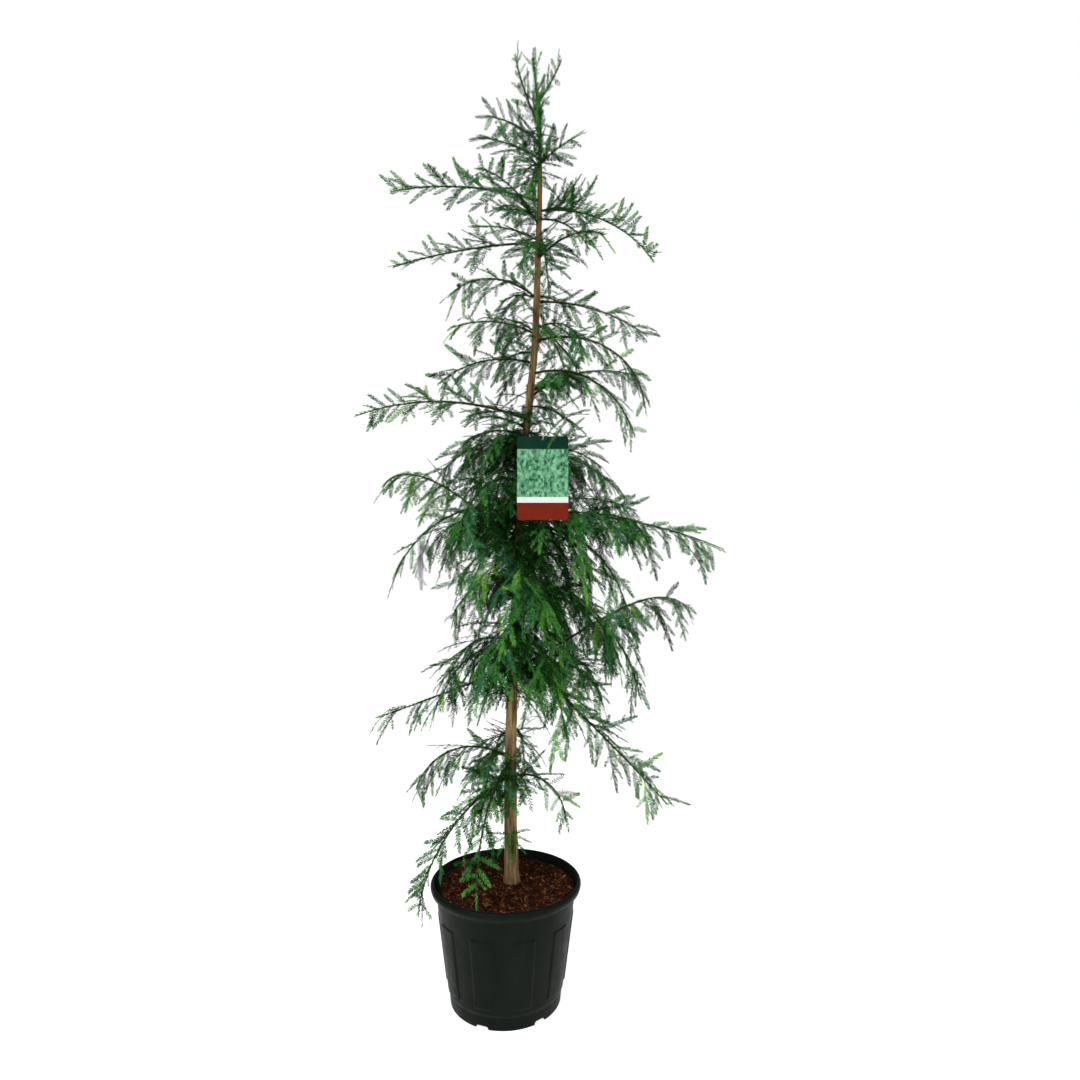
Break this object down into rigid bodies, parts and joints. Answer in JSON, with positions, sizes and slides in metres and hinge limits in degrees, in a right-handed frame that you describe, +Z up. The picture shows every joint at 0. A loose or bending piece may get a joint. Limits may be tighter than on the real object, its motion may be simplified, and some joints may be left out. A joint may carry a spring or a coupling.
{
  "type": "potted coast redwood",
  "caption": "Young coast redwood in a round nursery pot: slim leaning trunk, drooping boughs with feathery needle sprays, and a plain label card hanging in front.",
  "frame": {"origin": "centre of the pot's flat underside, on the surface that it stands on", "axes": "+Z up along the plant; -Y towards the plant's front, where the label hangs; +X to its right"},
  "size_m": [0.9739, 0.7173, 2.6882],
  "materials": {
    "pot": "satin dark green-grey moulded plastic",
    "soil": "rough red-brown bark mulch",
    "trunk_bark": "rough fibrous bark",
    "bough_bark": "rough thin bark",
    "foliage": "soft satin needles",
    "label_card": "satin printed card",
    "label_loop": "satin"
  },
  "bodies": {
    "root": {"pot": "pot", "soil": "soil", "trunk": "trunk_bark", "plant_label": "label_card", "label_loop": "label_loop", "foliage_left_leader": "foliage", "foliage_right_leader": "foliage", "foliage_left_shoot": "foliage", "foliage_left_top": "foliage", "foliage_right_top": "foliage", "foliage_back_top": "foliage", "bough_left_high_long": "bough_bark", "foliage_left_high_long": "foliage", "bough_left_upper_long": "bough_bark", "foliage_left_upper_long": "foliage", "foliage_front_high_left": "foliage", "foliage_right_high_long": "foliage", "foliage_front_high_right": "foliage", "foliage_back_high": "foliage", "foliage_left_high_arch": "foliage", "foliage_left_mid": "foliage", "foliage_left_mid_arch": "foliage", "bough_right_high_arch": "bough_bark", "foliage_right_high_arch": "foliage", "bough_right_mid_arch": "bough_bark", "foliage_right_mid_arch": "foliage", "foliage_right_mid": "foliage", "foliage_back_mid": "foliage", "bough_left_mid_long": "bough_bark", "foliage_left_mid_long": "foliage", "foliage_left_belt_high": "foliage", "foliage_right_mid_rise": "foliage", "foliage_front_belt_top": "foliage", "foliage_right_belt_high": "foliage", "foliage_back_belt_high": "foliage", "bough_left_rising": "bough_bark", "foliage_left_rising": "foliage", "foliage_left_droop": "foliage", "bough_right_long": "bough_bark", "foliage_right_long": "foliage", "foliage_right_droop": "foliage", "foliage_front_belt_left": "foliage", "foliage_front_belt": "foliage", "foliage_back_belt_left": "foliage", "foliage_back_belt_right": "foliage", "foliage_left_low_long": "foliage", "foliage_left_low_droop": "foliage", "bough_right_arch": "bough_bark", "foliage_right_arch": "foliage", "foliage_right_curtain": "foliage", "bough_right_low_long": "bough_bark", "foliage_right_low_long": "foliage", "foliage_front_low": "foliage", "foliage_back_low": "foliage", "foliage_left_belt_low": "foliage", "foliage_left_pot_upper": "foliage", "foliage_left_pot": "foliage", "foliage_front_pot": "foliage", "foliage_right_pot": "foliage", "foliage_back_pot": "foliage"}
  },
  "joints": []
}
